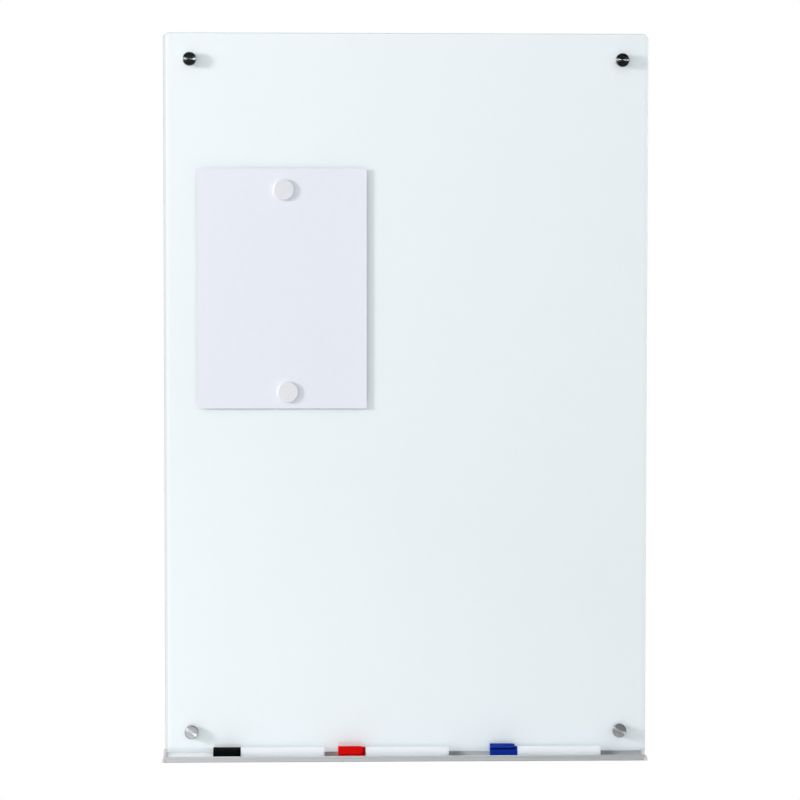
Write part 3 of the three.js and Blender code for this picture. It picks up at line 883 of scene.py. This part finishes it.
# %% Make the three markers
def make_marker(colour):
    name = colour + "_marker"
    low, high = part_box(name + "_barrel")
    start = Vector((low[0] - neck_start * mm, (low[1] + high[1]) / 2, (low[2] + high[2]) / 2))
    shell = moulded_plastic("moulded_" + colour, *marker_colours[colour], 0.04)
    darken_slit(shell, start, cap_rolls[colour], slit_reaches[colour], slit_colours[colour])
    take_place(spin_marker_cap(start, cap_rolls[colour]), name + "_cap", shell)
    take_place(spin_barrel(start), name + "_barrel", white_plastic)
    take_place(spin_nib(start), name + "_nib", felt_finish)
    take_place(spin_reservoir(start), name + "_reservoir", felt_finish)
    take_place(spin_plug(start), name + "_end_plug", white_plastic)
    print(name, "starts at", tuple(round(value, 4) for value in start))


for colour in marker_colours:
    make_marker(colour)

# %% [markdown]
# ## Note sheet
#
# A plain A4 sheet lies on the glass under its two magnets, and its right edge lifts a little.
# It is a fine grid whose points are raised toward that edge, then given its thickness. The
# scene's glass doesn't bend the rays to the lamp, so shadows fall a little further off on the
# coating. The lift is smaller than the solid's, to keep the sheet's shadow narrow.

# %% Curl the sheet
sheet_width, sheet_height = 210.0 * mm, 297.0 * mm
sheet_thickness = 0.2 * mm
curl_length, curl_lift = 46.0 * mm, 0.9 * mm
sheet_columns, sheet_rows = 70, 99


def writing_paper():
    paper = Finish("writing_paper", (0.785, 0.835, 0.905), 0.85)
    fibres = paper.noise(paper.place(), 2200.0, detail=4.0)
    cloud = paper.noise(paper.place(), 120.0)
    paper.set("Base Color", paper.tint(cloud, (0.77, 0.822, 0.892), (0.80, 0.848, 0.917)))
    paper.set("Specular IOR Level", 0.2)
    return paper.bump(fibres, 0.01 * mm)


def make_sheet():
    low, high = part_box("note_sheet")
    back = high[1]
    middle = Vector(((low[0] + high[0]) / 2, back, (low[2] + high[2]) / 2))
    form = bmesh.new()
    bmesh.ops.create_grid(form, x_segments=sheet_columns, y_segments=sheet_rows, size=0.5)
    stretch = Matrix.Diagonal((sheet_width, sheet_height, 1.0, 1.0))
    stand = Matrix.Rotation(math.pi / 2, 4, "X")
    bmesh.ops.transform(form, matrix=Matrix.Translation(middle) @ stand @ stretch, verts=form.verts[:])
    curl_start = high[0] - curl_length
    for vertex in form.verts:
        along = max(0.0, (vertex.co.x - curl_start) / curl_length)
        vertex.co.y -= curl_lift * along ** 2
    bmesh.ops.recalc_face_normals(form, faces=form.faces[:])
    if form.faces[0].normal.y > 0:
        bmesh.ops.reverse_faces(form, faces=form.faces[:])
    bmesh.ops.solidify(form, geom=form.faces[:], thickness=-sheet_thickness)
    sheet = take_place(form, "note_sheet", writing_paper())
    print("sheet corners:", [round(value, 4) for value in (*low, *high)])


make_sheet()

# %% [markdown]
# ## Magnets
#
# A magnet is a drawn steel cup, plated in satin nickel, with a magnet disc in its back. The cup
# is spun, and the disc's solid stays, with a sintered grain.

# %% Spin the magnets
magnet_radius, magnet_height = 13.0, 4.6
magnet_rounding = 1.1
cup_wall, cup_face = 1.2, 1.4


def satin_nickel():
    nickel = Finish("satin_nickel", (0.81, 0.84, 0.88), 0.42, metallic=0.12)
    grain = nickel.noise(nickel.place(), 1600.0, detail=3.0)
    cloud = nickel.noise(nickel.place(), 90.0)
    nickel.set("Base Color", nickel.tint(cloud, (0.80, 0.83, 0.87), (0.825, 0.855, 0.89)))
    nickel.set("Roughness", nickel.spread(grain, 0.36, 0.5))
    return nickel.bump(grain, 0.01 * mm)


def sintered_alloy():
    alloy = Finish("sintered_alloy", (0.36, 0.37, 0.38), 0.45, metallic=1.0)
    grain = alloy.noise(alloy.place(), 2400.0, detail=4.0)
    alloy.set("Base Color", alloy.tint(grain, (0.30, 0.31, 0.33), (0.44, 0.45, 0.46)))
    alloy.set("Roughness", alloy.spread(grain, 0.35, 0.6))
    return alloy.bump(grain, 0.03 * mm)


def make_magnet(name, nickel, alloy):
    low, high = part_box(name + "_housing")
    centre = Vector(((low[0] + high[0]) / 2, 0, (low[2] + high[2]) / 2))
    seat = -high[1] / mm
    front = seat + magnet_height
    profile = [
        (0, front, 0),
        (magnet_radius, front, magnet_rounding),
        (magnet_radius, seat, 0.2),
        (magnet_radius - cup_wall, seat, 0.1),
        (magnet_radius - cup_wall, front - cup_face, 0),
        (0, front - cup_face, 0),
    ]
    take_place(spin_profile(profile, centre, outward_seen), name + "_housing", nickel)
    disc = nodes[name + "_disc"]
    disc.data.materials.clear()
    disc.data.materials.append(alloy.material)


nickel_finish, alloy_finish = satin_nickel(), sintered_alloy()
for name in ("upper_magnet", "lower_magnet"):
    make_magnet(name, nickel_finish, alloy_finish)
    print(name, "made")

# %% [markdown]
# ## Glass, coating and steel
#
# Three solids keep their own form: the glass panel, the white coating and the steel sheet. The
# glass is clear and refracts, so its edge shows the dark and bright lines of the real board. Its
# faces are polished with the faint waves that rollers leave, and its ground edge is rougher.
# A path tracer finds a small lamp behind glass only by chance. So rays to the lamp, and the
# coating's own scattered rays, pass straight through, and only what the camera or a mirror sees
# is bent.

# %% Glass
ground_edge = (0.2988, 0.4488)
ground_fade, ground_roughness = 0.4 * mm, 0.12


def clear_glass():
    glass = Finish("clear_glass", (1.0, 1.0, 1.0), 0.0)
    glass.set("Transmission Weight", 1.0).set("IOR", 1.52)
    here = glass.place()
    parts = glass.add("ShaderNodeSeparateXYZ", {}, {0: here}).socket.node
    across = glass.math("ABSOLUTE", Signal(glass, parts.outputs[0]))
    up = glass.math("ABSOLUTE", Signal(glass, parts.outputs[2]))
    at_side = glass.between(across, ground_edge[0], ground_edge[0] + ground_fade)
    at_end = glass.between(up, ground_edge[1], ground_edge[1] + ground_fade)
    ground = glass.math("MAXIMUM", at_side, at_end)
    glass.set("Roughness", ground * ground_roughness)
    glass.set("Base Color", glass.tint(ground, (1.0, 1.0, 1.0), (0.94, 0.99, 0.98)))
    waves = glass.noise(glass.place(scale=(2, 1, 30)), 1.0, detail=1.0)
    return glass.bump(waves, 0.01 * mm).let_through("Is Diffuse Ray", "Is Shadow Ray")


# %% [markdown]
# The coating is baked enamel, very even. The lamp also shines into the glass's left edge, which
# whitens a narrow band of the coating beside it. At both sides a narrow rim of the coating is painted
# greyer: painted shade along the glass's edges. The steel behind the coating is galvanised, whose
# zinc sets in large crystals, each with its own shade and shine.


# %% White enamel and galvanised steel
edge_light = (-0.2912, -0.2948)
left_rim, right_rim = (-0.2964, -0.2972), (0.2950, 0.2964)
crystal_shift, crystal_warp = (0.1, 0.1, 0.1), 0.02


def white_enamel():
    enamel = Finish("white_enamel", (0.847, 0.944, 0.972), 0.5)
    cloud = enamel.noise(enamel.place(), 6.0)
    grain = enamel.noise(enamel.place(), 900.0)
    across = enamel.add("ShaderNodeSeparateXYZ", {}, {0: enamel.place()}, "X")
    lit = enamel.between(across, *edge_light)
    even = enamel.tint(cloud, (0.84, 0.938, 0.967), (0.855, 0.95, 0.977))
    whitened = enamel.tint(lit, even, (0.9, 0.985, 0.995))
    # Painted shade: a narrow rim at each side of the coating is greyer, along the glass's edges.
    left_rim_shaded = enamel.tint(enamel.between(across, *left_rim), whitened, (0.78, 0.85, 0.86))
    enamel.set("Base Color", enamel.tint(enamel.between(across, *right_rim), left_rim_shaded, (0.82, 0.90, 0.925)))
    enamel.set("Roughness", enamel.spread(grain, 0.4, 0.55))
    return enamel.bump(grain, 0.01 * mm)


def galvanised_steel():
    zinc = Finish("galvanised_steel", (0.6, 0.62, 0.63), 0.42, metallic=1.0)
    warp = zinc.noise(zinc.place(), 60.0)
    shifted = zinc.vector("ADD", zinc.place(), crystal_shift)
    nudge = zinc.scaled(shifted, warp * crystal_warp + 1.0)
    cells = zinc.add("ShaderNodeTexVoronoi", {"feature": "F1"}, {"Vector": nudge, "Scale": 90.0}, "Color")
    shade = zinc.add("ShaderNodeSeparateColor", {}, {0: cells})
    zinc.set("Base Color", zinc.tint(shade, (0.52, 0.545, 0.565), (0.68, 0.70, 0.71)))
    zinc.set("Roughness", zinc.between(shade, 0.0, 1.0, 0.32, 0.5))
    return zinc.bump(shade, 0.01 * mm)


for node, finish in (
        ("glass_panel", clear_glass()),
        ("back_coating", white_enamel()),
        ("steel_backing", galvanised_steel())):
    nodes[node].data.materials.clear()
    nodes[node].data.materials.append(finish.material)
    print(node, "keeps its solid, in", finish.material.name)

# %% [markdown]
# ## Floor
#
# A pale floor lies well below the board, as under a wall where such a board hangs. The camera
# looks over it, so it only shows when the board is seen from above.

# %% Pale floor
floor_height = -1.45
floor_half = 3.2


def make_floor():
    painted = Finish("painted_floor", (0.78, 0.78, 0.78), 0.7)
    cloud = painted.noise(painted.place(), 3.0)
    painted.set("Base Color", painted.tint(cloud, (0.77, 0.77, 0.77), (0.80, 0.80, 0.80)))
    form = bmesh.new()
    bmesh.ops.create_grid(form, x_segments=4, y_segments=4, size=floor_half)
    bmesh.ops.translate(form, verts=form.verts[:], vec=(0, 0, floor_height))
    mesh = bpy.data.meshes.new("pale_floor")
    form.to_mesh(mesh)
    form.free()
    mesh.materials.append(painted.material)
    floor = bpy.data.objects.new("pale_floor", mesh)
    floor.visible_glossy = False
    scene.collection.objects.link(floor)


make_floor()
print("floor at", floor_height)
